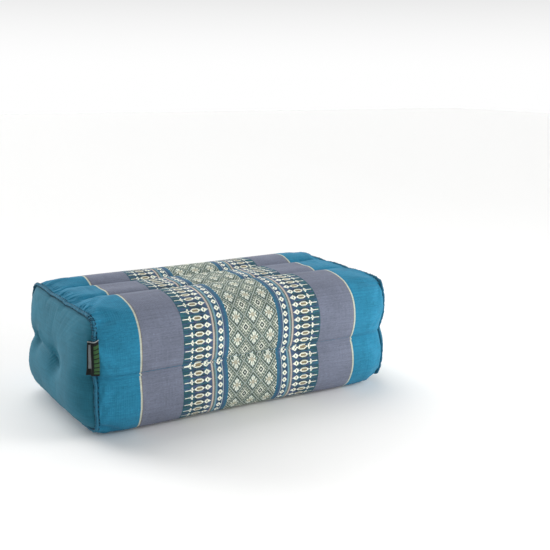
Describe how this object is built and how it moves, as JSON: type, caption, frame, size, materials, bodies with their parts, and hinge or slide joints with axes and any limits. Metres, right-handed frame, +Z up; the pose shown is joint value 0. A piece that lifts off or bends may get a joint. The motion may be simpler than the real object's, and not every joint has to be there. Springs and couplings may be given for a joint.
{
  "type": "flat meditation cushion",
  "caption": "Firm block floor cushion: patterned woven cloth sewn into long tubes and filled with kapok, plain drawn-in end panels, raised end seams and a small folded tab.",
  "frame": {"origin": "centre of the underside, on the surface the cushion lies on", "axes": "+X along the length towards the end without the tab, +Y across the depth away from the viewer, +Z up through the thickness"},
  "size_m": [0.3514, 0.1886, 0.1215],
  "materials": {
    "patterned_cloth": "matt woven cotton with a supplementary weft pattern",
    "plain_cloth": "matt plain woven cotton",
    "seam_cloth": "matt folded seam of the same cotton",
    "tab_ribbon": "satin woven ribbon"
  },
  "bodies": {
    "root": {"cushion_body": "patterned_cloth", "end_panel_left": "plain_cloth", "end_panel_right": "plain_cloth", "end_ridge_left": "seam_cloth", "end_ridge_right": "seam_cloth", "side_tab": "tab_ribbon"}
  },
  "joints": []
}
